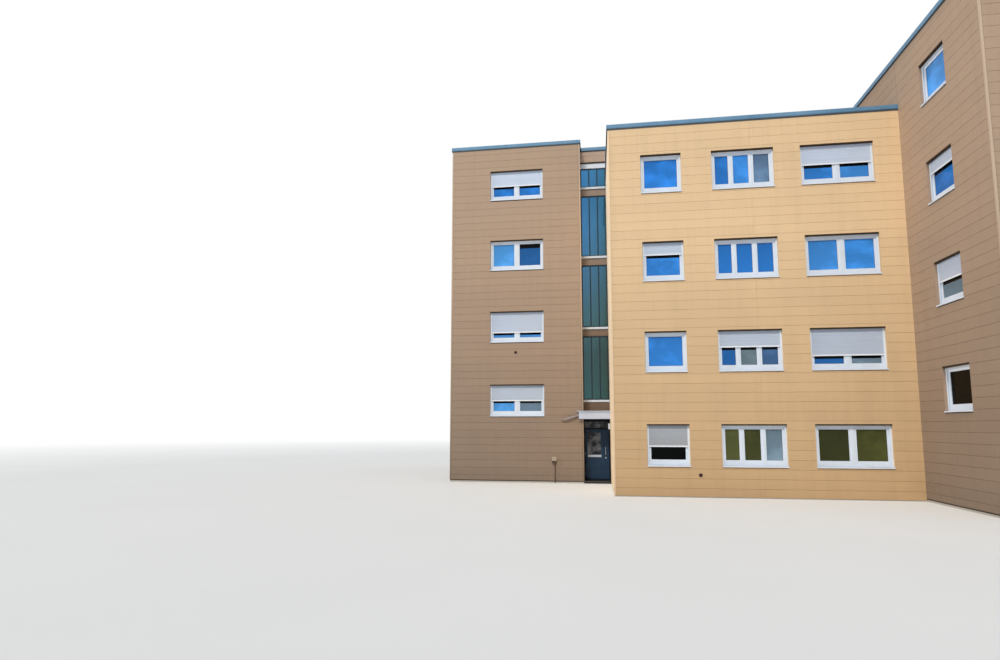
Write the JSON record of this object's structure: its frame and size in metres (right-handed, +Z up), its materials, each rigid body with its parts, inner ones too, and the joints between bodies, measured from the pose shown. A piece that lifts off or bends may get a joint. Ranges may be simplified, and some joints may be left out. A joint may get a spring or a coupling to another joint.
{
  "type": "apartment block",
  "caption": "Stepped apartment block with flat roofs, horizontal facade boards, roller-shuttered windows, a glazed stair strip and a hinged entrance door.",
  "frame": {"origin": "centre of the building's outline at ground level", "axes": "+X along the street front to the right, +Y away from the street, +Z up"},
  "size_m": [19.62, 18.49, 13.1],
  "materials": {
    "taupe_boards": "matte painted facade boards on masonry",
    "cream_boards": "matte painted facade boards on masonry",
    "concrete": "plain concrete",
    "coping_metal": "satin coated sheet",
    "white_frame": "satin white",
    "clear_glass": "clear double glazing",
    "shutter_slats": "matte light grey slats",
    "dark_frame": "satin dark coating",
    "door_paint": "satin dark blue",
    "steel": "brushed"
  },
  "bodies": {
    "building": {"left_front_wall": "taupe_boards", "left_return_wall": "taupe_boards", "left_side_wall": "taupe_boards", "left_rear_wall": "taupe_boards", "stair_side_wall": "taupe_boards", "middle_return_wall": "cream_boards", "middle_front_wall": "cream_boards", "middle_rear_wall": "cream_boards", "middle_east_wall": "cream_boards", "wing_front_wall": "taupe_boards", "wing_west_wall": "taupe_boards", "wing_east_wall": "taupe_boards", "wing_rear_wall": "taupe_boards", "left_floors": "concrete", "middle_floors": "concrete", "wing_floors": "concrete", "stair_landings": "concrete", "left_roof": "concrete", "middle_roof": "concrete", "wing_roof": "concrete", "left_coping": "coping_metal", "middle_coping": "coping_metal", "wing_coping": "coping_metal", "window_frames": "white_frame", "window_glass": "clear_glass", "window_sills": "white_frame", "roller_shutters": "shutter_slats", "stair_head_wall": "taupe_boards", "stair_lintel": "white_frame", "stair_spandrels": "taupe_boards", "stair_frames": "dark_frame", "stair_glass": "clear_glass", "stair_sills": "white_frame", "door_head_wall": "taupe_boards", "door_frame": "dark_frame", "top_light_glass": "clear_glass", "doorstep": "concrete", "canopy": "white_frame", "canopy_arm": "white_frame", "wall_lamp": "white_frame", "wall_vents": "white_frame", "standpipe_box": "steel", "frame_hinges": "steel"},
    "door": {"entrance_door": "door_paint", "door_glass": "clear_glass", "door_pull": "steel", "letter_plate": "white_frame", "leaf_hinges": "steel"}
  },
  "joints": [
    {"name": "entrance_door_hinge", "type": "hinge", "parent": "building", "child": "door", "pos_m": [-4.71, -0.134, 0.1], "axis": [0, 0, 1], "range_deg": [0, 90]}
  ]
}
